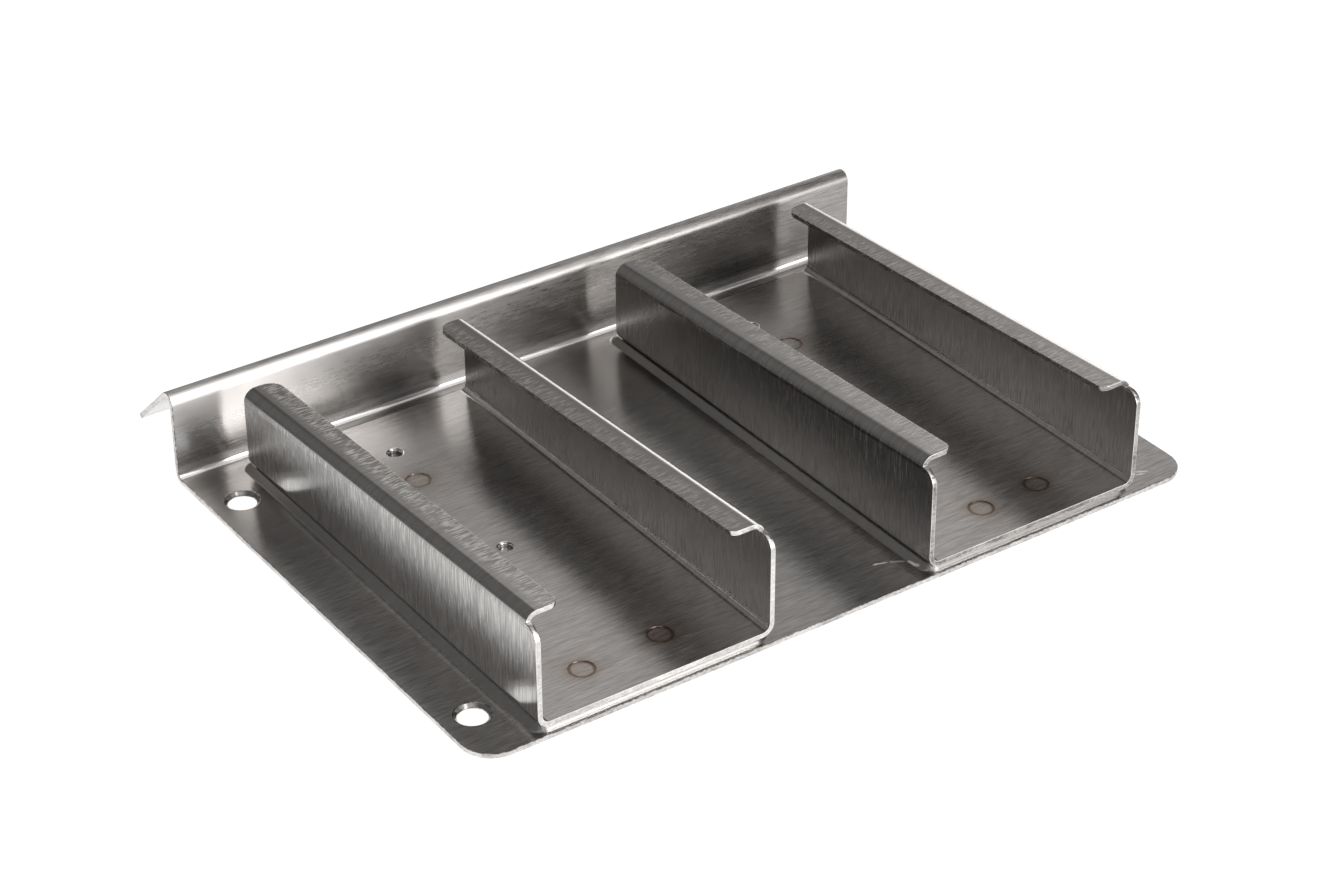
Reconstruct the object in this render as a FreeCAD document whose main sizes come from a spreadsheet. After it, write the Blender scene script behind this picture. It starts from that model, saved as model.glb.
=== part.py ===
import FreeCAD, Part
import math
import os
import Sketcher

# Twin-channel mounting bracket: a folded stainless base plate with two pressed pads and a hooked
# rear flange, and two lipped channels spot-welded on the pads. Lengths are in millimetres.
# The origin is on the underside of the base plate, halfway across it and halfway from its front
# edge to the back of its flange. X runs across the plate, Y runs back to the flange, Z is up.

DOCUMENT_NAME = "twin_channel_bracket"

SIZES = [
    # Sheet that every piece is cut from
    ("sheet", 1.2),
    # Base plate
    ("plate_width", 190.0),
    ("plate_depth", 129.8),
    ("plate_corner", 7.5),
    # Rear flange and the hook that is folded back and down from its top
    ("flange_height", 22.3),
    ("plate_fold", 1.3),
    ("hook_length", 18.5),
    ("hook_slope", 42.0),
    # Pads pressed up from the plate, one under each channel
    ("pad_rise", 1.4),
    ("pad_slope", 48.0),
    ("pad_front_gap", 0.9),
    ("pad_back_gap", 3.4),
    ("pad_corner", 3.5),
    ("pad_width", 58.8),
    ("pad_shift", -0.4),
    ("pad_round", 1.0),
    # Fastening holes in the side margins, each with a small countersink
    ("hole_bore", 6.5),
    ("hole_rim", 8.1),
    ("left_hole_inset", 7.3),
    ("right_hole_inset", 8.8),
    ("hole_front", 14.8),
    ("hole_back", 112.2),
    # Channels, whose walls get lower towards the back
    ("channel_width", 58.8),
    ("channel_length", 120.45),
    ("channel_front_height", 26.35),
    ("channel_back_height", 20.35),
    ("channel_fold", 1.8),
    ("channel_front_gap", 0.75),
    ("left_margin", 14.15),
    ("right_margin", 16.85),
    # Lips along the top of the channel walls
    ("lip_width", 8.3),
    ("lip_setback", 3.9),
    ("lip_front_round", 2.2),
    ("lip_back_round", 3.7),
    # Rounded front corner of each wall, below the end of its lip
    ("wall_round", 3.3),
    ("wall_round_drop", 2.35),
    # Small holes on the middle line of each channel
    ("pilot_bore", 3.2),
    ("pilot_rim", 4.0),
    ("pilot_front", 58.55),
    ("pilot_back", 105.45),
    # Marks of the spot welds, measured from the middle line and the front end of the channel
    ("weld_mark", 5.9),
    ("weld_dent", 0.12),
    ("left_weld_a_across", -11.5),
    ("left_weld_a_along", 11.2),
    ("left_weld_b_across", 8.7),
    ("left_weld_b_along", 12.2),
    ("left_weld_c_across", -1.7),
    ("left_weld_c_along", 92.4),
    ("right_weld_a_across", -5.9),
    ("right_weld_a_along", 11.0),
    ("right_weld_b_across", 10.4),
    ("right_weld_b_along", 11.6),
    ("right_weld_c_across", 2.6),
    ("right_weld_c_along", 93.2),
]
SIZE = dict(SIZES)

# Place across the plate of each channel's middle line, set from its own side of the plate
CHANNEL_MIDDLES = {
    "left": "left_margin + channel_width / 2 - plate_width / 2",
    "right": "plate_width / 2 - right_margin - channel_width / 2",
}
# Place along the plate of the channels' front ends
CHANNEL_FRONT = "channel_front_gap - plate_depth / 2"

# Ends of a sketch line or arc, and its centre
START = 1
END = 2
CENTRE = 3
# Horizontal axis of a sketch, whose start point is the sketch's origin
AXIS = -1

# How far a cutting outline runs past the metal, so that it clears it
CLEAR = 5.0
# Two places closer than this are the same place
NEAR = 0.01


def sizes_sheet(doc):
    """Write the driving sizes into a spreadsheet, one named cell each."""
    sheet = doc.addObject("Spreadsheet::Sheet", "Sizes")
    for row, (name, value) in enumerate(SIZES, start=1):
        sheet.set("A%d" % row, name)
        sheet.set("B%d" % row, str(value))
        sheet.setAlias("B%d" % row, name)
    doc.recompute()
    return sheet


def size(expression):
    """Turn a sum of named sizes into one that reads the spreadsheet."""
    words = expression.split()
    return " ".join("Sizes." + word if word in SIZE else word for word in words)


def worth(expression):
    """Number that a sum of named sizes gives, for the first draft of a sketch."""
    total = FreeCAD.ActiveDocument.Sizes.evalExpression(size(expression).replace("Sizes.", ""))
    return getattr(total, "Value", total)


def new_sketch(body, name, role, height=None):
    """Sketch on one of the body's own origin planes, raised by a named height."""
    sketch = body.newObject("Sketcher::SketchObject", name)
    plane = [each for each in body.Origin.OriginFeatures if each.Role == role][0]
    sketch.AttachmentSupport = (plane, "")
    sketch.MapMode = "FlatFace"
    if height:
        sketch.setExpression("AttachmentOffset.Base.z", size(height))
    return sketch


def join(sketch, kind, first, first_end, second, second_end):
    sketch.addConstraint(Sketcher.Constraint(kind, first, first_end, second, second_end))


def place(sketch, line, end, across=None, up=None):
    """Hold a point at named distances from the sketch's origin."""
    for kind, expression in (("DistanceX", across), ("DistanceY", up)):
        if expression is not None:
            held = Sketcher.Constraint(kind, AXIS, START, line, end, worth(expression))
            index = sketch.addConstraint(held)
            sketch.setExpression("Constraints[%d]" % index, size(expression))


def span(sketch, kind, line, expression):
    """Hold the length of a line along one direction, or the radius or diameter of a curve."""
    if kind in ("Radius", "Diameter"):
        held = Sketcher.Constraint(kind, line, worth(expression))
    else:
        held = Sketcher.Constraint(kind, line, START, line, END, worth(expression))
    index = sketch.addConstraint(held)
    sketch.setExpression("Constraints[%d]" % index, size(expression))


def draw_line(sketch, start, end):
    ends = FreeCAD.Vector(*start, 0), FreeCAD.Vector(*end, 0)
    return sketch.addGeometry(Part.LineSegment(*ends), False)


def draw_arc(sketch, centre, radius, start_angle, end_angle):
    circle = Part.Circle(FreeCAD.Vector(*centre, 0), FreeCAD.Vector(0, 0, 1), radius)
    angles = math.radians(start_angle), math.radians(end_angle)
    return sketch.addGeometry(Part.ArcOfCircle(circle, *angles), False)


def draw_outline(sketch, corners):
    """Closed outline of straight lines, each corner held at a pair of named distances."""
    points = [(worth(across), worth(up)) for across, up in corners]
    lines = [draw_line(sketch, *ends) for ends in zip(points, points[1:] + points[:1])]
    for line, following in zip(lines, lines[1:] + lines[:1]):
        join(sketch, "Coincident", line, END, following, START)
    for line, (across, up) in zip(lines, corners):
        place(sketch, line, START, across, up)


def draw_rounded_rectangle(sketch, left, right, front, back, radius):
    """Rectangle with four equal round corners, its sides held at named distances."""
    x0, x1, y0, y1 = [worth(side) for side in (left, right, front, back)]
    r = worth(radius)
    low = draw_line(sketch, (x0 + r, y0), (x1 - r, y0))
    east = draw_line(sketch, (x1, y0 + r), (x1, y1 - r))
    high = draw_line(sketch, (x1 - r, y1), (x0 + r, y1))
    west = draw_line(sketch, (x0, y1 - r), (x0, y0 + r))
    corners = [
        (low, east, draw_arc(sketch, (x1 - r, y0 + r), r, -90, 0)),
        (east, high, draw_arc(sketch, (x1 - r, y1 - r), r, 0, 90)),
        (high, west, draw_arc(sketch, (x0 + r, y1 - r), r, 90, 180)),
        (west, low, draw_arc(sketch, (x0 + r, y0 + r), r, 180, 270)),
    ]
    for line, following, arc in corners:
        join(sketch, "Tangent", line, END, arc, START)
        join(sketch, "Tangent", arc, END, following, START)
        span(sketch, "Radius", arc, radius)
    for line in (low, high):
        sketch.addConstraint(Sketcher.Constraint("Horizontal", line))
    for line in (east, west):
        sketch.addConstraint(Sketcher.Constraint("Vertical", line))
    place(sketch, low, START, up=front)
    place(sketch, high, START, up=back)
    place(sketch, west, START, across=left)
    place(sketch, east, START, across=right)


def draw_circles(sketch, centres, diameter):
    """Equal circles at pairs of named distances from the sketch's origin."""
    for across, up in centres:
        middle = FreeCAD.Vector(worth(across), worth(up), 0)
        circle = Part.Circle(middle, FreeCAD.Vector(0, 0, 1), worth(diameter) / 2)
        index = sketch.addGeometry(circle, False)
        place(sketch, index, CENTRE, across, up)
        span(sketch, "Diameter", index, diameter)


def pad(body, sketch, name, length, midplane=False, slope=None):
    """Raise an outline into metal, its sides leaning inwards by a named slope."""
    feature = body.newObject("PartDesign::Pad", name)
    feature.Profile = sketch
    feature.Midplane = midplane
    feature.setExpression("Length", size(length))
    if slope:
        feature.setExpression("TaperAngle", "-" + size(slope))
    return feature


def pocket(body, sketch, name, depth=None, upwards=False, both_ways=False, slope=None):
    """Cut an outline out of the metal, by a named depth or all the way through."""
    before = recomputed_volume(body)
    feature = body.newObject("PartDesign::Pocket", name)
    feature.Profile = sketch
    feature.Reversed = upwards
    feature.Midplane = both_ways
    if depth:
        feature.setExpression("Length", size(depth))
    else:
        feature.Type = "ThroughAll"
    if slope:
        feature.setExpression("TaperAngle", "-" + size(slope))
    if recomputed_volume(body) >= before:
        raise RuntimeError("%s cuts nothing out of %s" % (name, body.Label))
    return feature


def countersunk_holes(body, sketch, name, bore, rim):
    """Drill through the sheet at each circle and open the mouth to a wider rim."""
    before = recomputed_volume(body)
    feature = body.newObject("PartDesign::Hole", name)
    feature.Profile = sketch
    body.Document.recompute()
    feature.DepthType = "ThroughAll"
    feature.setExpression("Diameter", size(bore))
    feature.HoleCutType = "Countersink"
    feature.HoleCutCustomValues = True
    feature.setExpression("HoleCutDiameter", size(rim))
    feature.HoleCutCountersinkAngle = 90
    if recomputed_volume(body) >= before:
        raise RuntimeError("%s cuts nothing out of %s" % (name, body.Label))
    return feature


def recomputed_volume(body):
    body.Document.recompute()
    return body.Shape.Volume


def edges_where(feature, wanted):
    """Names of the edges of a feature whose ends and direction pass a test."""
    names = []
    for number, edge in enumerate(feature.Shape.Edges, start=1):
        ends = [vertex.Point for vertex in edge.Vertexes]
        if len(ends) == 2 and wanted(edge, *ends):
            names.append("Edge%d" % number)
    return names


def round_edges(body, base, name, wanted, radius):
    """Round the edges of a feature that pass a test, by a named radius."""
    body.Document.recompute()
    feature = body.newObject("PartDesign::Fillet", name)
    feature.Base = (base, edges_where(base, wanted))
    feature.setExpression("Radius", size(radius))
    body.Document.recompute()
    return feature


def draw_plate_section(sketch):
    """Side view of the folded sheet: plate, flange and hook, one sheet thick all along."""
    sheet, fold = SIZE["sheet"], SIZE["plate_fold"]
    back = SIZE["plate_depth"] / 2
    outer = fold + sheet
    low_centre = (back - outer, outer)
    high_centre = (back + fold, SIZE["flange_height"] - outer)
    slope = math.radians(SIZE["hook_slope"])
    run = SIZE["hook_length"] * math.cos(slope), -SIZE["hook_length"] * math.sin(slope)
    upper_start = (high_centre[0] + outer * math.sin(slope), high_centre[1] + outer * math.cos(slope))
    lower_start = (high_centre[0] + fold * math.sin(slope), high_centre[1] + fold * math.cos(slope))
    upper_tip = (upper_start[0] + run[0], upper_start[1] + run[1])
    lower_tip = (lower_start[0] + run[0], lower_start[1] + run[1])
    arc_start = 90 - SIZE["hook_slope"]

    underside = draw_line(sketch, (-back, 0), (low_centre[0], 0))
    low_outer = draw_arc(sketch, low_centre, outer, -90, 0)
    flange_back = draw_line(sketch, (back, low_centre[1]), (back, high_centre[1]))
    high_inner = draw_arc(sketch, high_centre, fold, arc_start, 180)
    hook_under = draw_line(sketch, lower_start, lower_tip)
    hook_tip = draw_line(sketch, lower_tip, upper_tip)
    hook_top = draw_line(sketch, upper_start, upper_tip)
    high_outer = draw_arc(sketch, high_centre, outer, arc_start, 180)
    flange_front = draw_line(sketch, (back - sheet, high_centre[1]), (back - sheet, low_centre[1]))
    low_inner = draw_arc(sketch, low_centre, fold, -90, 0)
    top = draw_line(sketch, (low_centre[0], sheet), (-back, sheet))
    front = draw_line(sketch, (-back, sheet), (-back, 0))

    join(sketch, "Coincident", front, END, underside, START)
    join(sketch, "Tangent", underside, END, low_outer, START)
    join(sketch, "Tangent", low_outer, END, flange_back, START)
    join(sketch, "Tangent", flange_back, END, high_inner, END)
    join(sketch, "Tangent", high_inner, START, hook_under, START)
    join(sketch, "Coincident", hook_under, END, hook_tip, START)
    join(sketch, "Coincident", hook_tip, END, hook_top, END)
    join(sketch, "Tangent", hook_top, START, high_outer, START)
    join(sketch, "Tangent", high_outer, END, flange_front, START)
    join(sketch, "Tangent", flange_front, END, low_inner, END)
    join(sketch, "Tangent", low_inner, START, top, START)
    join(sketch, "Coincident", top, END, front, START)
    join(sketch, "Coincident", low_inner, CENTRE, low_outer, CENTRE)
    join(sketch, "Coincident", high_inner, CENTRE, high_outer, CENTRE)
    for line in (underside, top):
        sketch.addConstraint(Sketcher.Constraint("Horizontal", line))
    for line in (flange_back, flange_front, front):
        sketch.addConstraint(Sketcher.Constraint("Vertical", line))
    sketch.addConstraint(Sketcher.Constraint("Parallel", hook_under, hook_top))
    sketch.addConstraint(Sketcher.Constraint("Perpendicular", hook_tip, hook_top))

    place(sketch, underside, START, "0 - plate_depth / 2", "0")
    place(sketch, flange_back, START, "plate_depth / 2")
    place(sketch, top, END, up="sheet")
    place(sketch, high_inner, CENTRE, up="flange_height - plate_fold - sheet")
    span(sketch, "Radius", low_inner, "plate_fold")
    span(sketch, "Radius", high_inner, "plate_fold")
    span(sketch, "DistanceX", hook_top, "hook_length * cos( hook_slope * 1 deg )")
    span(sketch, "DistanceY", hook_top, "0 - hook_length * sin( hook_slope * 1 deg )")


def pad_sides(side, inset="0"):
    """Left, right, front and back sides of a pressed pad, brought in by a named inset."""
    middle = CHANNEL_MIDDLES[side] + " + pad_shift"
    return (
        "%s - pad_width / 2 + %s" % (middle, inset),
        "%s + pad_width / 2 - %s" % (middle, inset),
        "0 - plate_depth / 2 + pad_front_gap + %s" % inset,
        "plate_depth / 2 - sheet - pad_back_gap - %s" % inset,
    )


def weld_places(side):
    """Places of a channel's spot welds from its middle line and front end."""
    return [("%s_weld_%s_across" % (side, mark), "%s_weld_%s_along" % (side, mark)) for mark in "abc"]


def press_pad(body, side):
    """Press a pad up out of the plate, with soft edges where the sheet bends.

    The pad stands up from the top face and leaves a hollow of the same depth in the underside. The
    hollow is narrower, so that the sloping sides keep the thickness of the sheet.
    """
    outline = new_sketch(body, side + "_pad_outline", "XY_Plane", "sheet")
    draw_rounded_rectangle(outline, *pad_sides(side), "pad_corner")
    raised = pad(body, outline, side + "_pad", "pad_rise", slope="pad_slope")
    left, right, front, back = [worth(each) for each in pad_sides(side)]

    def bend(edge, first, second):
        level = abs(first.z - second.z) < NEAR and first.z > SIZE["sheet"] - NEAR
        inside_x = left - NEAR < min(first.x, second.x) and max(first.x, second.x) < right + NEAR
        inside_y = front - NEAR < min(first.y, second.y) and max(first.y, second.y) < back + NEAR
        return level and inside_x and inside_y

    round_edges(body, raised, side + "_pad_bends", bend, "pad_round")
    inset = "sheet * tan( ( 90 - pad_slope ) * 0.5 deg )"
    hollow = new_sketch(body, side + "_hollow_outline", "XY_Plane")
    draw_rounded_rectangle(hollow, *pad_sides(side, inset), "pad_corner")
    pressed = pocket(body, hollow, side + "_hollow", "pad_rise", upwards=True, slope="pad_slope")

    def mouth(edge, first, second):
        low = max(first.z, second.z) < NEAR
        inside_x = left < min(first.x, second.x) and max(first.x, second.x) < right
        inside_y = front < min(first.y, second.y) and max(first.y, second.y) < back
        return low and inside_x and inside_y

    round_edges(body, pressed, side + "_hollow_bends", mouth, "pad_round")


def base_plate(doc):
    """Folded plate with its pads, holes, flange and hook."""
    body = doc.addObject("PartDesign::Body", "base_plate")
    body.Label = "base_plate"
    section = new_sketch(body, "plate_section", "YZ_Plane")
    draw_plate_section(section)
    strip = pad(body, section, "folded_strip", "plate_width", midplane=True)
    doc.recompute()

    def front_corner(edge, first, second):
        at_front = first.y < NEAR - SIZE["plate_depth"] / 2
        return at_front and abs(first.x - second.x) < NEAR and abs(first.y - second.y) < NEAR

    round_edges(body, strip, "front_corners", front_corner, "plate_corner")

    for side in CHANNEL_MIDDLES:
        press_pad(body, side)
    for side, middle in CHANNEL_MIDDLES.items():
        dents = new_sketch(body, side + "_lower_weld_marks", "XY_Plane", "pad_rise")
        centres = []
        for across, along in weld_places(side):
            centres.append((middle + " + " + across, CHANNEL_FRONT + " + " + along))
        draw_circles(dents, centres, "weld_mark")
        pocket(body, dents, side + "_lower_weld_dents", "weld_dent", upwards=True)

    holes = new_sketch(body, "hole_centres", "XY_Plane", "sheet")
    columns = ("left_hole_inset - plate_width / 2", "plate_width / 2 - right_hole_inset")
    rows = ("hole_front - plate_depth / 2", "hole_back - plate_depth / 2")
    draw_circles(holes, [(across, along) for across in columns for along in rows], "hole_bore")
    countersunk_holes(body, holes, "margin_holes", "hole_bore", "hole_rim")
    return body


def channel(doc, side):
    """Lipped channel, modelled from the middle of its front end and then set on its pad."""
    body = doc.addObject("PartDesign::Body", side + "_channel")
    body.Label = side + "_channel"

    # A tapered block is rounded along its four long edges and hollowed from end to end, which
    # leaves floor, walls and lips at one thickness with concentric folds.
    section = new_sketch(body, side + "_side_view", "YZ_Plane")
    draw_outline(section, [
        ("0", "0"),
        ("channel_length", "0"),
        ("channel_length", "channel_back_height"),
        ("0", "channel_front_height"),
    ])
    block = pad(body, section, side + "_block", "channel_width", midplane=True)

    def long_edge(edge, first, second):
        return abs(first.x - second.x) < NEAR and abs(first.y - second.y) > SIZE["channel_length"] / 2

    folds = round_edges(body, block, side + "_folds", long_edge, "channel_fold + sheet")
    shell = body.newObject("PartDesign::Thickness", side + "_shell")
    shell.Base = (folds, end_faces(folds))
    shell.Reversed = True
    shell.setExpression("Value", size("sheet"))

    # The slot between the lips runs the whole length of the top
    slot = new_sketch(body, side + "_slot_outline", "XY_Plane", "channel_back_height / 2")
    half = "( channel_width / 2 - lip_width )"
    draw_outline(slot, [
        ("0 - " + half, "0 - %g" % CLEAR),
        (half, "0 - %g" % CLEAR),
        (half, "channel_length + %g" % CLEAR),
        ("0 - " + half, "channel_length + %g" % CLEAR),
    ])
    pocket(body, slot, side + "_slot", upwards=True)

    notch = new_sketch(body, side + "_front_notch_outline", "YZ_Plane")
    draw_front_notch(notch)
    cut = pocket(body, notch, side + "_front_notch", both_ways=True)

    def lip_corner_at(place_along):
        def test(edge, first, second):
            free = abs(abs(first.x) - (SIZE["channel_width"] / 2 - SIZE["lip_width"])) < NEAR
            upright = abs(first.x - second.x) < NEAR and abs(first.y - second.y) < NEAR
            high = min(first.z, second.z) > SIZE["channel_back_height"] / 2
            return free and upright and high and abs(first.y - place_along) < NEAR
        return test

    front = round_edges(body, cut, side + "_lip_front_corners",
                        lip_corner_at(SIZE["lip_setback"]), "lip_front_round")
    round_edges(body, front, side + "_lip_back_corners",
                lip_corner_at(SIZE["channel_length"]), "lip_back_round")

    pilots = new_sketch(body, side + "_pilot_centres", "XY_Plane", "sheet")
    draw_circles(pilots, [("0", "pilot_front"), ("0", "pilot_back")], "pilot_bore")
    countersunk_holes(body, pilots, side + "_pilot_holes", "pilot_bore", "pilot_rim")
    dents = new_sketch(body, side + "_weld_marks", "XY_Plane", "sheet")
    draw_circles(dents, weld_places(side), "weld_mark")
    pocket(body, dents, side + "_weld_dents", "weld_dent")

    body.setExpression("Placement.Base.x", size(CHANNEL_MIDDLES[side]))
    body.setExpression("Placement.Base.y", size(CHANNEL_FRONT))
    body.setExpression("Placement.Base.z", size("sheet + pad_rise"))
    return body


def end_faces(feature):
    """Names of the flat faces that close the front and back ends of a block."""
    names = []
    for number, face in enumerate(feature.Shape.Faces, start=1):
        if face.BoundBox.YLength < NEAR:
            names.append("Face%d" % number)
    return names


def draw_front_notch(sketch):
    """Side view of what is cut from the top front corner: the wall's round and the lip's end."""
    top = "channel_front_height + %g" % CLEAR
    shelf = "channel_front_height - wall_round_drop"
    start = "channel_front_height - wall_round_drop - wall_round"
    corners = [
        ("wall_round", shelf),
        ("lip_setback", shelf),
        ("lip_setback", top),
        ("0 - %g" % CLEAR, top),
        ("0 - %g" % CLEAR, start),
        ("0", start),
    ]
    points = [(worth(across), worth(up)) for across, up in corners]
    lines = [draw_line(sketch, *ends) for ends in zip(points, points[1:])]
    for line, following in zip(lines, lines[1:]):
        join(sketch, "Coincident", line, END, following, START)
    for line, (across, up) in zip(lines, corners):
        place(sketch, line, START, across, up)
    place(sketch, lines[-1], END, *corners[-1])
    arc = draw_arc(sketch, (worth("wall_round"), worth(start)), worth("wall_round"), 90, 180)
    join(sketch, "Coincident", arc, START, lines[0], START)
    join(sketch, "Coincident", arc, END, lines[-1], END)
    span(sketch, "Radius", arc, "wall_round")


def check(doc, bodies):
    """Stop if any feature failed or any piece is not one sound solid."""
    for each in doc.Objects:
        if "Invalid" in each.State or "Error" in each.State:
            raise RuntimeError("%s failed: %s" % (each.Name, each.State))
    for body in bodies:
        if body.Shape.isNull() or not body.Shape.isValid() or len(body.Shape.Solids) != 1:
            raise RuntimeError("%s is not one sound solid" % body.Label)


def main():
    doc = FreeCAD.newDocument(DOCUMENT_NAME)
    sizes_sheet(doc)
    bodies = [base_plate(doc)]
    for side in CHANNEL_MIDDLES:
        bodies.append(channel(doc, side))
    doc.recompute()
    check(doc, bodies)
    os.makedirs("parts", exist_ok=True)
    for body in bodies:
        body.Shape.exportStep("parts/%s.step" % body.Label)
        box = body.Shape.BoundBox
        print(body.Label, "volume %.1f mm3" % body.Shape.Volume,
              "from (%.2f, %.2f, %.2f)" % (box.XMin, box.YMin, box.ZMin),
              "to (%.2f, %.2f, %.2f)" % (box.XMax, box.YMax, box.ZMax))


main()
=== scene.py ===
import math
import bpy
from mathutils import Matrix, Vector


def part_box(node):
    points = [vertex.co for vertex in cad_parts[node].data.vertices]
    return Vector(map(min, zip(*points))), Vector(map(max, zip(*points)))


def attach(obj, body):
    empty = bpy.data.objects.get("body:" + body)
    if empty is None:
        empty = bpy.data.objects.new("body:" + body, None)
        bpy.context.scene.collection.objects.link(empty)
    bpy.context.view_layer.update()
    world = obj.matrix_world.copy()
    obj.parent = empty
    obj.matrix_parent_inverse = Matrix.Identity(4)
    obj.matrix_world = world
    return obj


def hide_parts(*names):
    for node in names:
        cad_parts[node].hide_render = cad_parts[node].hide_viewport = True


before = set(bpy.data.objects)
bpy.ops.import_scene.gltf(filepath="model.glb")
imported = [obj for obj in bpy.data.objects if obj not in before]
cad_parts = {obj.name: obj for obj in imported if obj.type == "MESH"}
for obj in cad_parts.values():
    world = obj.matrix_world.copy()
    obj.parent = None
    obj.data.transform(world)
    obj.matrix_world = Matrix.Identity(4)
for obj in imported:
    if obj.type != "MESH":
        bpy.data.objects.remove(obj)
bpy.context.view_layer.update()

from types import SimpleNamespace

import bmesh
import bpy
from mathutils import Vector


# Camera
# Stands in front of the bracket's left corner and looks down on it, about 0.7 m away, so that the
# rails run up to the right and the flange closes the picture behind them.
CAMERA_PLACE = (-0.356699, -0.508102, 0.395562)
CAMERA_TURN_DEGREES = (58.1237, 0.1438, -34.8686)
CAMERA_LENS = 87.133
CAMERA_SENSOR = 36.0

bpy.ops.object.camera_add(
    location=CAMERA_PLACE, rotation=[math.radians(turn) for turn in CAMERA_TURN_DEGREES]
)
camera = bpy.context.object
camera.name = "camera"
camera.data.sensor_fit = "HORIZONTAL"
camera.data.sensor_width = CAMERA_SENSOR
camera.data.lens = CAMERA_LENS
bpy.context.scene.camera = camera
bpy.context.scene.view_settings.view_transform = "Standard"


# Table and light
# A white table top lies under the bracket. It shows white to the camera and in the steel, and
# still takes the bracket's shadow. A wide lamp hangs above it, in a dim room with brighter patches.
MM = 0.001
TABLE_WIDTH = 6.0
TABLE_BELOW_BRACKET = 0.1 * MM
TABLE_GREY = 0.80
TABLE_GREY_UNDER_GLOW = 0.30
TABLE_GLOW = 0.96
ROOM_LEVEL = 0.13
ROOM_COLOUR = (1.0, 0.98, 0.965, 1)
LAMP_PLACE = Vector((0.25, -0.20, 1.90))
LAMP_TARGET = Vector((0, 0, 0.01))
LAMP_WIDTH = 1.6
LAMP_POWER = 5.0


def fresh_material(name):
    """A material with no nodes in it yet."""
    material = bpy.data.materials.new(name)
    material.use_nodes = True
    material.node_tree.nodes.clear()
    return material


def feed(tree, socket, value):
    """Joins a socket to another node's output, or sets it to a number, direction or colour."""
    if isinstance(value, bpy.types.NodeSocket):
        tree.links.new(value, socket)
    else:
        socket.default_value = value


def add_node(tree, kind, sockets=(), **settings):
    """Adds a node. sockets says what goes into it, by each socket's name or number."""
    node = tree.nodes.new(kind)
    for key, value in settings.items():
        setattr(node, key, value)
    for key, value in dict(sockets).items():
        feed(tree, node.inputs[key], value)
    return node


def calculate(tree, operation, first, *others):
    """The sum, product or the like of two or more values, taken from left to right."""
    total = first
    for value in others:
        total = add_node(
            tree, "ShaderNodeMath", {0: total, 1: value}, operation=operation
        ).outputs[0]
    return total


def spread(tree, value, ends, results, curve="LINEAR"):
    """Turns a value between two ends into one between two results."""
    sockets = {
        "Value": value,
        "From Min": ends[0],
        "From Max": ends[1],
        "To Min": results[0],
        "To Max": results[1],
    }
    node = add_node(tree, "ShaderNodeMapRange", sockets, interpolation_type=curve)
    return node.outputs["Result"]


def matt_paint(tree, grey):
    """Plain paint without any gloss."""
    node = add_node(tree, "ShaderNodeBsdfDiffuse", {"Color": (grey, grey, grey, 1)})
    return node.outputs[0]


bpy.ops.mesh.primitive_plane_add(size=TABLE_WIDTH, location=(0, 0, -TABLE_BELOW_BRACKET))
table_top = bpy.context.object
table_top.name = "table_top"
table_paint = fresh_material("table_paint")
tree = table_paint.node_tree
ray = add_node(tree, "ShaderNodeLightPath")
seen = calculate(
    tree, "MAXIMUM", ray.outputs["Is Camera Ray"], ray.outputs["Is Glossy Ray"],
    ray.outputs["Is Transmission Ray"],
)
glow = add_node(tree, "ShaderNodeEmission", {"Color": (1, 1, 1, 1), "Strength": TABLE_GLOW})
white_paint = add_node(
    tree, "ShaderNodeAddShader", {0: matt_paint(tree, TABLE_GREY_UNDER_GLOW), 1: glow.outputs[0]}
)
paint = add_node(
    tree, "ShaderNodeMixShader",
    {0: seen, 1: matt_paint(tree, TABLE_GREY), 2: white_paint.outputs[0]},
)
add_node(tree, "ShaderNodeOutputMaterial", {"Surface": paint.outputs[0]})
table_top.data.materials.append(table_paint)

world = bpy.data.worlds.new("studio_room")
bpy.context.scene.world = world
world.use_nodes = True
tree = world.node_tree
heading = add_node(tree, "ShaderNodeTexCoord").outputs["Generated"]
level = ROOM_LEVEL
# Each patch of light has a direction, the cosine of its angle at the rim and at the core, and a
# strength.
for direction, rim, core, strength in (
    ((0.54, 0.62, 0.57), 0.90, 0.992, 0.34),
    ((-0.45, 0.68, 0.57), 0.75, 1.00, 0.12),
    ((-0.40, -0.72, 0.57), 0.85, 1.00, 0.60),
    ((0.33, -0.92, 0.20), 0.90, 1.00, 4.3),
    ((0.74, 0.66, 0.12), 0.95, 1.00, 3.0),
    ((0.22, -0.81, 0.54), 0.955, 1.00, 2.8),
    ((0.36, -0.55, 0.75), 0.95, 1.00, 1.4),
):
    towards = add_node(
        tree, "ShaderNodeVectorMath", {0: heading, 1: direction}, operation="DOT_PRODUCT"
    )
    patch = spread(tree, towards.outputs["Value"], (rim, core), (0, strength), curve="SMOOTHSTEP")
    level = calculate(tree, "ADD", patch, level)
room = tree.nodes["Background"]
feed(tree, room.inputs["Strength"], level)
feed(tree, room.inputs["Color"], ROOM_COLOUR)

bpy.ops.object.light_add(
    type="AREA", location=LAMP_PLACE,
    rotation=(LAMP_TARGET - LAMP_PLACE).to_track_quat("-Z", "Y").to_euler(),
)
lamp = bpy.context.object
lamp.name = "high_box"
lamp.data.shape = "SQUARE"
lamp.data.size = LAMP_WIDTH
lamp.data.energy = LAMP_POWER


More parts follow.
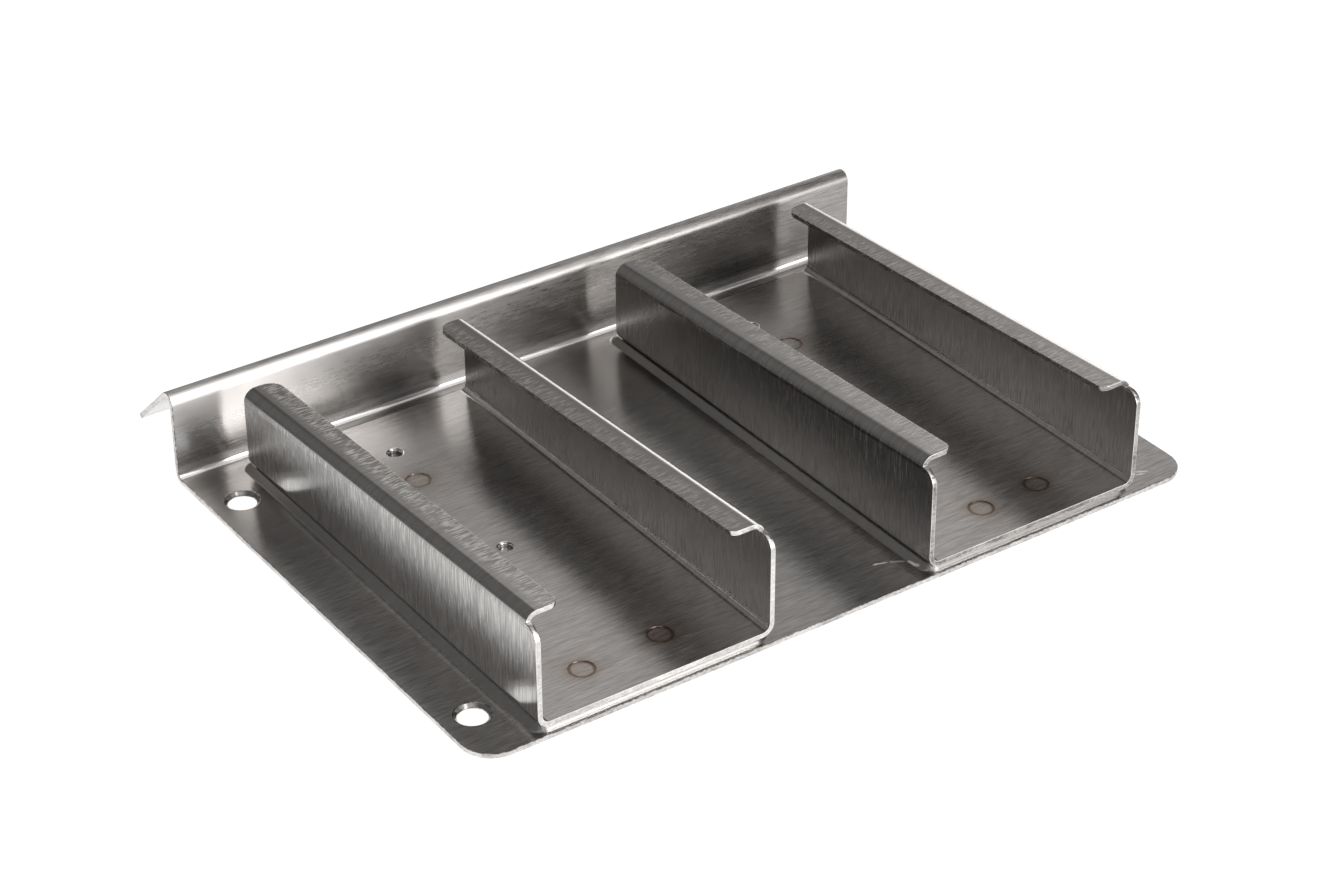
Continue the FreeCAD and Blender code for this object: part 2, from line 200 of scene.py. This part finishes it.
# Base plate
# The bottom sheet: 1.2 mm stainless steel with two pressed pads, four countersunk holes and a
# rear flange folded up and hooked over. Cut, pressed and folded from one blank.
SAME_PLACE = 0.001 * MM
SAME_PLANE = math.radians(0.5)
SHARP_CORNER = math.radians(40)
SMOOTH_BEND = math.radians(32)
PLATE_SOFTENING = 0.16 * MM
PLATE_SIDES = 85 * MM
PLATE_FRONT = -60 * MM
HOOK_TIP = 78 * MM
PAD_UNDERSIDE = 1.4 * MM
RING_REACH = 8 * MM
METALLIC = 0.98
GRAIN_DEPTH = 0.004 * MM
GRAIN_DRAW = 0.85
EDGE_DEPTH = 0.006 * MM
PLATE_SHADES = ((0.35, 0.340, 0.332), (0.64, 0.627, 0.614))
PLATE_HAZE = (0.18, 0.26)
SPECK = (0.12, 0.11, 0.10)
# Painted shade for leaning folds and for the right lips' flat tops
PAINTED_SHADE_STEEL = (0.20, 0.19, 0.18)
# Painted shade, then painted highlight, for the flange and the plate's back
PAINTED_SHADE_DEEP = (0.18, 0.172, 0.165)
PAINTED_HIGHLIGHT_FLANGE = (0.93, 0.92, 0.915)
# Painted highlight for the creases
CREASE_PAINTED_HIGHLIGHT = (0.95, 0.93, 0.90)

# What a value is spread to, where it grows from nothing to all or fades from all to nothing
GROWING = (0, 1)
FADING = (1, 0)

# The order in which the sheets list their finishes
SHEET_FACE, CUT_FACE, CORNER_FACE = range(3)

# The middles of the spot welds, and the creases in the plate's front margin with their painted
# highlight, in millimetres
LEFT_WELDS = [(-62.95, -52.95), (-42.75, -51.95), (-53.15, 28.25)]
RIGHT_WELDS = [(42.85, -53.15), (59.15, -52.55), (51.35, 29.05)]
PLATE_CREASES = [
    ((11.7, -54.1), (15.4, -55.3)),
    ((15.4, -55.3), (18.8, -57.2)),
    ((18.8, -57.2), (19.5, -61.0)),
    ((83.5, -58.6), (86.4, -60.1)),
    ((82.6, -59.6), (85.1, -60.3)),
]


def edit_alone(piece):
    """Opens one piece, and no other, in edit mode."""
    bpy.ops.object.select_all(action="DESELECT")
    piece.select_set(True)
    bpy.context.view_layer.objects.active = piece
    bpy.ops.object.mode_set(mode="EDIT")


def steel_copy(node, name):
    """A joined-up copy of one sheet's solid, with its flat faces made whole."""
    piece = bpy.data.objects.new(name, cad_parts[node].data.copy())
    bpy.context.scene.collection.objects.link(piece)
    edit_alone(piece)
    bpy.ops.mesh.select_all(action="SELECT")
    bpy.ops.mesh.remove_doubles(threshold=SAME_PLACE)
    bpy.ops.mesh.dissolve_limited(angle_limit=SAME_PLANE)
    bpy.ops.mesh.select_all(action="DESELECT")
    bpy.ops.object.mode_set(mode="OBJECT")
    piece.data.materials.clear()
    return piece


def paint_faces(piece, finishes, is_cut):
    """Gives a piece its finishes. is_cut says which of its faces are cut edges of the sheet."""
    for finish in finishes:
        piece.data.materials.append(finish)
    for face in piece.data.polygons:
        face.material_index = CUT_FACE if is_cut(face.center, face.normal) else SHEET_FACE


def soften_corners(piece, radius, is_soft):
    """Rounds the sheet's sharp corners a little, as cutting and tumbling leave them."""
    edit_alone(piece)
    bpy.ops.mesh.select_mode(type="EDGE")
    bpy.ops.mesh.select_all(action="DESELECT")
    mesh = bmesh.from_edit_mesh(piece.data)
    for edge in mesh.edges:
        if len(edge.link_faces) == 2 and edge.calc_face_angle() > SHARP_CORNER:
            edge.select_set(is_soft((edge.verts[0].co + edge.verts[1].co) / 2))
    bmesh.update_edit_mesh(piece.data)
    bpy.ops.mesh.bevel(
        offset=radius, segments=2, affect="EDGES", clamp_overlap=False, material=CORNER_FACE
    )
    bpy.ops.object.mode_set(mode="OBJECT")
    bpy.ops.object.shade_smooth_by_angle(angle=SMOOTH_BEND)
    flat = piece.modifiers.new("flat_faces", "WEIGHTED_NORMAL")
    flat.keep_sharp = True
    bpy.ops.object.modifier_apply(modifier=flat.name)


def grain(tree, cycles, detail, offset=(0, 0, 0), roughness=0.55):
    """Noise with so many cycles per metre along X, Y and Z."""
    place = add_node(tree, "ShaderNodeTexCoord").outputs["Object"]
    stretch = add_node(
        tree, "ShaderNodeMapping", {"Vector": place, "Location": offset, "Scale": cycles}
    )
    sockets = {
        "Vector": stretch.outputs["Vector"], "Scale": 1.0, "Detail": detail, "Roughness": roughness,
    }
    return add_node(tree, "ShaderNodeTexNoise", sockets).outputs["Fac"]


def blend(tree, *parts):
    """The sum of several values, each times its weight."""
    shares = [calculate(tree, "MULTIPLY", value, weight) for value, weight in parts]
    return calculate(tree, "ADD", *shares)


def absolute(tree, value):
    """A value without its sign."""
    return add_node(tree, "ShaderNodeMath", {0: value}, operation="ABSOLUTE").outputs[0]


def at_right_angles(tree, first, second):
    """The direction that stands at right angles to two others."""
    node = add_node(
        tree, "ShaderNodeVectorMath", {0: first, 1: second}, operation="CROSS_PRODUCT"
    )
    return node.outputs[0]


def mixed(tree, amount, under, over, how="MIX"):
    """One colour over another, by an amount from 0 to 1."""
    under, over = [(*each, 1) if isinstance(each, tuple) else each for each in (under, over)]
    node = add_node(
        tree, "ShaderNodeMix", {0: amount, 6: under, 7: over}, data_type="RGBA", blend_type=how
    )
    return node.outputs[2]


def steel_surface(tree, colour, rough, height, depth, brushed=0.0):
    """The steel itself. brushed is how much the grain draws its reflections out."""
    relief = add_node(
        tree, "ShaderNodeBump", {"Strength": 1.0, "Distance": depth, "Height": height}
    )
    sockets = {
        "Base Color": colour,
        "Metallic": METALLIC,
        "Roughness": rough,
        "Anisotropic": brushed,
        "Normal": relief.outputs["Normal"],
    }
    surface = add_node(tree, "ShaderNodeBsdfPrincipled", sockets)
    add_node(tree, "ShaderNodeOutputMaterial", {"Surface": surface.outputs[0]})
    return surface


def brushed_steel(name, drawn_along, dark, light, haze):
    """Brushed steel without its marks. drawn_along has a 1 for each axis the grain runs along."""
    finish = fresh_material(name)
    tree = finish.node_tree
    fine, streak, broad = [
        grain(tree, [along if drawn else across for drawn in drawn_along], detail, offset)
        for along, across, detail, offset in (
            (300, 5000, 2.0, (0, 0, 0)),
            (170, 2300, 3.0, (4, 2, 7)),
            (30, 520, 2.0, (8, 3, 5)),
        )
    ]
    cloud = grain(tree, (38, 38, 38), 3.0, offset=(1, 5, 3))
    shade = blend(tree, (fine, 0.40), (streak, 0.40), (broad, 0.12), (cloud, 0.08))
    worn = blend(tree, (fine, 0.55), (streak, 0.30), (cloud, 0.15))
    wander = grain(tree, (900, 900, 900), 3.0)
    coordinates = add_node(tree, "ShaderNodeTexCoord")
    place = coordinates.outputs["Object"]
    axes = add_node(tree, "ShaderNodeSeparateXYZ", {0: place})
    facing = add_node(tree, "ShaderNodeSeparateXYZ", {0: coordinates.outputs["Normal"]})
    return SimpleNamespace(
        finish=finish,
        tree=tree,
        place=place,
        x=axes.outputs["X"],
        y=axes.outputs["Y"],
        z=axes.outputs["Z"],
        facing_x=facing.outputs["X"],
        facing_y=facing.outputs["Y"],
        facing_z=facing.outputs["Z"],
        normal=add_node(tree, "ShaderNodeNewGeometry").outputs["Normal"],
        streak=streak,
        wobble=spread(tree, wander, (0, 1), (-0.25 * MM, 0.25 * MM)),
        colour=mixed(tree, spread(tree, shade, (0.38, 0.62), GROWING), dark, light),
        rough=spread(tree, worn, (0.36, 0.64), haze),
        relief=blend(tree, (fine, 0.35), (streak, 0.65)),
    )


def lay_over(steel, colour, *amounts):
    """Lays a colour over the steel, by the product of the amounts."""
    amount = calculate(steel.tree, "MULTIPLY", *amounts)
    steel.colour = mixed(steel.tree, amount, steel.colour, colour)


def press_mark(steel, mark, height, haze):
    """Raises the steel and takes some of its gloss where a mark is."""
    raised = calculate(steel.tree, "MULTIPLY", mark, height)
    steel.relief = calculate(steel.tree, "ADD", steel.relief, raised)
    hazy = calculate(steel.tree, "MULTIPLY", mark, haze)
    steel.rough = calculate(steel.tree, "ADD", steel.rough, hazy)


def add_specks(steel):
    """A few scattered dark specks, up to about half a millimetre across."""
    dots = add_node(steel.tree, "ShaderNodeTexVoronoi", {"Vector": steel.place, "Scale": 75})
    speck = spread(steel.tree, dots.outputs["Distance"], (0.013, 0.022), (0.8, 0))
    lay_over(steel, SPECK, speck)


def add_weld_rings(steel, welds, height):
    """The brown rings that the heat of the spot welds leaves, with paler steel inside them."""
    tree = steel.tree
    gaps = [
        add_node(
            tree, "ShaderNodeVectorMath", {0: steel.place, 1: (x * MM, y * MM, height)},
            operation="DISTANCE",
        ).outputs["Value"]
        for x, y in welds
    ]
    nearest = calculate(tree, "MINIMUM", *gaps)
    reach = calculate(tree, "ADD", nearest, steel.wobble)
    heat = add_node(
        tree, "ShaderNodeValToRGB", {"Fac": spread(tree, reach, (0, RING_REACH), GROWING)}
    )
    stains = heat.color_ramp.elements
    stains[0].color = (0.96, 0.89, 0.83, 1)
    stains[1].color = (1, 1, 1, 1)
    for position, stain in (
        (0.27, (0.88, 0.80, 0.74)),
        (0.315, (0.45, 0.36, 0.30)),
        (0.362, (0.40, 0.31, 0.25)),
        (0.395, (0.80, 0.73, 0.67)),
        (0.58, (0.94, 0.90, 0.87)),
    ):
        stains.new(position).color = (*stain, 1)
    steel.colour = mixed(tree, 1.0, steel.colour, heat.outputs["Color"], how="MULTIPLY")


def plate_haze_and_painted_light(steel):
    """The flange is hazier towards its fold. Painted highlight lightens its foot and its left part,
    and painted shade darkens its right part and the plate towards its back."""
    tree = steel.tree
    near_fold = spread(tree, steel.z, (9 * MM, 20 * MM), (0, 0.17))
    to_the_left = spread(tree, steel.x, (-95 * MM, 50 * MM), (1.0, 0.30))
    fold_haze = calculate(tree, "MULTIPLY", near_fold, to_the_left)
    steel.rough = calculate(tree, "ADD", steel.rough, fold_haze)

    # Painted shade on the flange's right part and on the plate towards its back.
    facing_front = calculate(tree, "MULTIPLY", steel.facing_y, -1)
    flange_front = spread(tree, facing_front, (0.30, 0.60), GROWING)
    painted_shade_right = calculate(
        tree, "MULTIPLY", flange_front, spread(tree, steel.x, (25 * MM, 90 * MM), (0, 0.55))
    )
    painted_shade_back = calculate(
        tree, "MULTIPLY", spread(tree, steel.z, (3.5 * MM, 2.8 * MM), GROWING),
        spread(tree, steel.y, (-5 * MM, 45 * MM), (0, 0.80)),
    )
    lay_over(steel, PAINTED_SHADE_DEEP, calculate(tree, "MAXIMUM", painted_shade_right, painted_shade_back))

    # Painted highlight on the flange's foot bend and on its left part.
    painted_highlight_foot = calculate(
        tree, "MULTIPLY", spread(tree, facing_front, (0.10, 0.30), (0, 0.9)),
        spread(tree, steel.z, (4.5 * MM, 3.5 * MM), GROWING),
    )
    painted_highlight_left = calculate(
        tree, "MULTIPLY", flange_front, spread(tree, steel.z, (3 * MM, 12 * MM), (0.1, 0.9)),
        spread(tree, steel.x, (-60 * MM, 15 * MM), FADING),
    )
    lay_over(steel, PAINTED_HIGHLIGHT_FLANGE, calculate(tree, "MAXIMUM", painted_highlight_foot, painted_highlight_left))


def paint_fold_shade(steel, leaning, share=1.0):
    """Paints shade on the folds and slopes that lean to a side. leaning is 0 on flat and upright
    faces.
    """
    lay_over(steel, PAINTED_SHADE_STEEL, spread(steel.tree, leaning, (0.05, 0.40), (0, 0.62)), share)


def add_crease(steel, start, end):
    """A crease about half a millimetre wide, from start to end in millimetres: slightly raised,
    with a painted highlight.
    """
    tree = steel.tree
    run = (Vector(end) - Vector(start)).to_3d() * MM
    along = run.normalized()
    aside = Vector((-along.y, along.x, 0))
    from_start = add_node(
        tree, "ShaderNodeVectorMath", {0: steel.place, 1: Vector((*start, 0)) * MM},
        operation="SUBTRACT",
    )
    covered, off_line = [
        add_node(
            tree, "ShaderNodeVectorMath", {0: from_start.outputs[0], 1: direction},
            operation="DOT_PRODUCT",
        ).outputs["Value"]
        for direction in (along, aside)
    ]
    wavering = absolute(tree, calculate(tree, "ADD", off_line, steel.wobble))
    mark = calculate(
        tree, "MULTIPLY", spread(tree, wavering, (0.16 * MM, 0.34 * MM), FADING),
        spread(tree, covered, (0, 0.4 * MM), GROWING),
        spread(tree, covered, (run.length, run.length - 0.8 * MM), GROWING),
    )
    # Painted highlight along the crease.
    lay_over(steel, CREASE_PAINTED_HIGHLIGHT, mark)
    press_mark(steel, mark, 4.0, 0.40)


def close_finish(steel, tangent):
    """Makes the marked steel the material's surface. tangent is the way its reflections run."""
    surface = steel_surface(
        steel.tree, steel.colour, steel.rough, steel.relief, GRAIN_DEPTH, GRAIN_DRAW
    )
    feed(steel.tree, surface.inputs["Tangent"], tangent)
    return steel.finish


def sheared_edge(name, dark, light):
    """The cut edge of the sheet: a band of fine specks between shiny patches."""
    finish = fresh_material(name)
    tree = finish.node_tree
    spots = grain(tree, (1000, 1000, 1600), 4.0, roughness=0.7)
    bands = grain(tree, (160, 160, 160), 2.0, offset=(3, 1, 2))
    mottle = blend(tree, (spots, 0.6), (bands, 0.4))
    colour = mixed(tree, spread(tree, mottle, (0.38, 0.60), GROWING), dark, light)
    rough = spread(tree, mottle, (0.38, 0.60), (0.36, 0.22))
    steel_surface(tree, colour, rough, mottle, EDGE_DEPTH)
    return finish


def burred_corner(name, dark, light):
    """The ragged line that cutting leaves along the upper corners of the plate's edges."""
    finish = fresh_material(name)
    tree = finish.node_tree
    ragged = grain(tree, (1100, 1100, 1100), 3.0, offset=(5, 2, 6), roughness=0.7)
    colour = mixed(tree, spread(tree, ragged, (0.44, 0.60), GROWING), dark, light)
    rough = spread(tree, ragged, (0.40, 0.60), (0.42, 0.30))
    steel_surface(tree, colour, rough, ragged, EDGE_DEPTH)
    return finish


def plate_cut(middle, normal):
    """The plate's side and front edges, and the free edge of the hook."""
    side = abs(middle.x) > PLATE_SIDES and abs(normal.z) < 0.1 and abs(normal.x) > 0.1
    front = normal.y < -0.5 and middle.y < PLATE_FRONT and abs(normal.z) < 0.1
    hook_end = middle.y > HOOK_TIP and normal.z < -0.4 and normal.y > 0.4
    return side or front or hook_end


steel = brushed_steel("plate_brushed_steel", (1, 0, 0), *PLATE_SHADES, PLATE_HAZE)
add_specks(steel)
add_weld_rings(steel, LEFT_WELDS + RIGHT_WELDS, PAD_UNDERSIDE)
plate_haze_and_painted_light(steel)
tilt = calculate(steel.tree, "MULTIPLY", steel.facing_x, steel.facing_z)
# Painted shade on the plate's folds and pad slopes that lean to a side.
paint_fold_shade(steel, absolute(steel.tree, tilt))
for start, end in PLATE_CREASES:
    add_crease(steel, start, end)
plate_finish = close_finish(steel, at_right_angles(steel.tree, steel.normal, (1, 0, 0)))

cut_edge = sheared_edge("sheared_steel_edge", (0.40, 0.385, 0.37), (0.78, 0.76, 0.74))
burr_line = burred_corner("burred_steel_corner", (0.15, 0.14, 0.13), (0.62, 0.60, 0.57))

base_sheet = steel_copy("base_plate", "base_sheet")
paint_faces(base_sheet, (plate_finish, cut_edge, burr_line), plate_cut)
soften_corners(base_sheet, PLATE_SOFTENING, lambda middle: True)
for face in base_sheet.data.polygons:
    if face.material_index == CORNER_FACE and face.normal.z < 0:
        face.material_index = CUT_FACE
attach(base_sheet, "root")
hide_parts("base_plate")


# Channels
# Two rails of the same sheet, each folded to a C with lips turned in, and spot-welded to the
# pads through its floor. The grain runs across the rail. The welds leave brown rings.
FLOOR_TOP = 3.8 * MM
LIPS_ABOVE = 15 * MM
LIP_TOPS = (19 * MM, 20 * MM)
LIP_WIDTH = 8.3 * MM
BESIDE_WALL = 1.5 * MM
RAIL_SOFTENING = 0.13 * MM
WELD_RIM_TOP = 4 * MM
WELD_RIM_REACH = 3.3 * MM
RAIL_SHADES = ((0.50, 0.485, 0.474), (0.84, 0.822, 0.804))
RAIL_HAZE = (0.19, 0.26)
# Painted shade for the walls under the lips
PAINTED_SHADE_WALL = (0.14, 0.134, 0.128)
DARK_LINE = (0.22, 0.21, 0.20)
BRIGHT_LINE = (0.98, 0.96, 0.93)
# Painted shade for the floors and the lips' flat tops
PAINTED_SHADE_FLOOR = (0.20, 0.19, 0.182)
PAINTED_SHADE_LIP_TOP = (0.24, 0.23, 0.22)
PRESSED_STEEL = (0.90, 0.88, 0.85)

# The fourth finish of a rail, after those that the base plate has too
LIP_EDGE_FACE = 3


def shade_walls_and_streak(steel, middle_x, front_shades, back_shades):
    """Paints shade on the walls, darker up towards their lips, with a ragged streaky edge, and
    draws dark and bright grain lines.
    front_shades and back_shades say how much painted shade the left and the right wall get at each
    end."""
    tree = steel.tree
    wall_side = spread(tree, absolute(tree, steel.facing_x), (0.90, 0.97), GROWING)
    ragged = spread(tree, steel.streak, (0.34, 0.66), (-8 * MM, 8 * MM))
    ragged_height = calculate(tree, "ADD", steel.z, ragged)
    under_lip = spread(tree, ragged_height, (9 * MM, 20 * MM), (0, 0.74))
    front, back = [
        spread(tree, steel.x, (middle_x - MM, middle_x + MM), walls)
        for walls in (front_shades, back_shades)
    ]
    wall_shade_share = spread(tree, steel.y, (-50 * MM, 45 * MM), (front, back))
    # Painted shade under the lips, more or less at each end of each wall.
    painted_wall_shade = calculate(tree, "MULTIPLY", wall_side, under_lip, wall_shade_share)
    lay_over(steel, PAINTED_SHADE_WALL, calculate(tree, "MINIMUM", painted_wall_shade, 0.85))
    for ends, share, line_colour in (
        ((0.47, 0.36), 0.30, DARK_LINE),
        ((0.54, 0.63), 0.34, BRIGHT_LINE),
    ):
        line = spread(tree, steel.streak, ends, (0, share))
        lay_over(steel, line_colour, wall_side, line)


def shade_level_faces(steel):
    """Paints shade on the floor and the lips' flat tops, more towards the back. Returns where the
    tops are.
    """
    tree = steel.tree
    level_face = spread(tree, steel.facing_z, (0.90, 0.97), GROWING)
    floor = spread(tree, steel.z, (8 * MM, 6 * MM), GROWING)
    far_back = spread(tree, steel.y, (-25 * MM, 45 * MM), (0, 0.58))
    # Painted shade on the floor, and below on the lips' flat tops, growing towards the back.
    lay_over(steel, PAINTED_SHADE_FLOOR, level_face, floor, far_back)
    flat_top = calculate(tree, "MULTIPLY", level_face, spread(tree, steel.z, LIP_TOPS, GROWING))
    back_share = spread(tree, steel.y, (-60 * MM, 45 * MM), (0.22, 0.72))
    lay_over(steel, PAINTED_SHADE_LIP_TOP, flat_top, back_share)
    return flat_top


def mark_lip(steel, flat_top, edge_x, to_wall, strength, lip_shade):
    """Paints shade on a lip's flat top, as much as lip_shade says, and draws the bright dashes that
    pressing leaves by its free edge.
    to_wall is -1 or 1: the way along X from that edge to the lip's own wall."""
    tree = steel.tree
    from_edge = calculate(
        tree, "MULTIPLY", calculate(tree, "SUBTRACT", steel.x, edge_x), to_wall
    )
    on_lip = spread(tree, from_edge, (-0.4 * MM, -0.1 * MM), GROWING)
    # Painted shade on the lip's flat top.
    lay_over(steel, PAINTED_SHADE_STEEL, flat_top, on_lip, lip_shade)
    pressed = spread(tree, from_edge, (4.8 * MM, 3.4 * MM), GROWING)
    high_up = spread(tree, steel.z, LIP_TOPS, GROWING)
    dashes = grain(tree, (380, 2600, 380), 1.0, offset=(9, 1, 4))
    dash = spread(tree, dashes, (0.47, 0.60), (0, strength))
    mark = calculate(tree, "MULTIPLY", pressed, high_up, on_lip, dash)
    lay_over(steel, PRESSED_STEEL, mark)
    press_mark(steel, mark, 0.9, 0.12)


def rail_finish(name, welds, box_low, box_high, left_press, right_press, wall_shades):
    """The brushed steel of one rail, with its welds, folds, walls, floor and lips."""
    steel = brushed_steel(name, (1, 0, 1), *RAIL_SHADES, RAIL_HAZE)
    add_specks(steel)
    add_weld_rings(steel, welds, FLOOR_TOP)
    # Painted shade on the folds that face left, fullest near the lips.
    leaning_left = calculate(steel.tree, "MULTIPLY", steel.facing_x, steel.facing_z, -1)
    at_lip = spread(steel.tree, steel.z, (17 * MM, 19 * MM), (0.6, 1))
    paint_fold_shade(steel, leaning_left, at_lip)
    shade_walls_and_streak(steel, (box_low.x + box_high.x) / 2, *wall_shades)
    flat_top = shade_level_faces(steel)
    # Only the right lips get painted shade on their flat tops.
    mark_lip(steel, flat_top, box_low.x + LIP_WIDTH, -1, left_press, 0.0)
    mark_lip(steel, flat_top, box_high.x - LIP_WIDTH, 1, right_press, 0.55)
    across_walls = at_right_angles(steel.tree, steel.normal, (0, 1, 0))
    return close_finish(steel, at_right_angles(steel.tree, steel.normal, across_walls))


def rail_cut(middle, normal, box_low, box_high):
    """The rail's two ends, and the free edges of its lips."""
    end = abs(normal.y) > 0.7
    between_walls = box_low.x + BESIDE_WALL < middle.x < box_high.x - BESIDE_WALL
    lip_edge = abs(normal.x) > 0.7 and middle.z > LIPS_ABOVE
    return end or (lip_edge and between_walls)


def clear_of_welds(place, welds):
    """Whether a place isn't on the rim of a weld's dent, which stays as it is."""
    gaps = [math.hypot(place.x - x * MM, place.y - y * MM) for x, y in welds]
    return place.z > WELD_RIM_TOP or min(gaps) >= WELD_RIM_REACH


# Lit and shaded copies of the sheared edge: painted light on the left rail's ends, painted shade on
# the right rail's ends and on all lips' cut edges.
painted_lit_edge = sheared_edge("painted_lit_sheared_steel_edge", (0.55, 0.535, 0.52), (0.93, 0.91, 0.89))
painted_shaded_edge = sheared_edge("painted_shaded_sheared_steel_edge", (0.16, 0.152, 0.145), (0.55, 0.53, 0.51))
# Painted highlight along the rails' rounded corners.
painted_highlight_corner = sheared_edge("painted_highlight_steel_corner", (0.80, 0.79, 0.77), (0.97, 0.96, 0.95))

# The last pairs give how much painted shade each rail's left and right wall get at the front and at
# the back.
for node, name, welds, rail_edge, left_press, right_press, wall_shades in (
    (
        "left_channel", "left_rail", LEFT_WELDS, painted_lit_edge, 1.0, 0.35,
        ((0.25, 0.70), (0.90, 1.05)),
    ),
    (
        "right_channel", "right_rail", RIGHT_WELDS, painted_shaded_edge, 0.45, 0.30,
        ((1.30, 0.65), (0.85, 0.35)),
    ),
):
    rail = steel_copy(node, name)
    box_low, box_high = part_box(node)
    finish = rail_finish(
        name + "_brushed_steel", welds, box_low, box_high, left_press, right_press, wall_shades
    )
    paint_faces(
        rail, (finish, rail_edge, painted_highlight_corner, painted_shaded_edge),
        lambda middle, normal: rail_cut(middle, normal, box_low, box_high),
    )
    soften_corners(rail, RAIL_SOFTENING, lambda middle: clear_of_welds(middle, welds))
    # The lips' cut edges take the painted-shade copy of the sheared edge.
    for face in rail.data.polygons:
        along_rail = face.material_index != SHEET_FACE and abs(face.normal.y) < 0.5
        if along_rail and face.center.z > LIPS_ABOVE:
            face.material_index = LIP_EDGE_FACE
    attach(rail, "root")
    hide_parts(node)
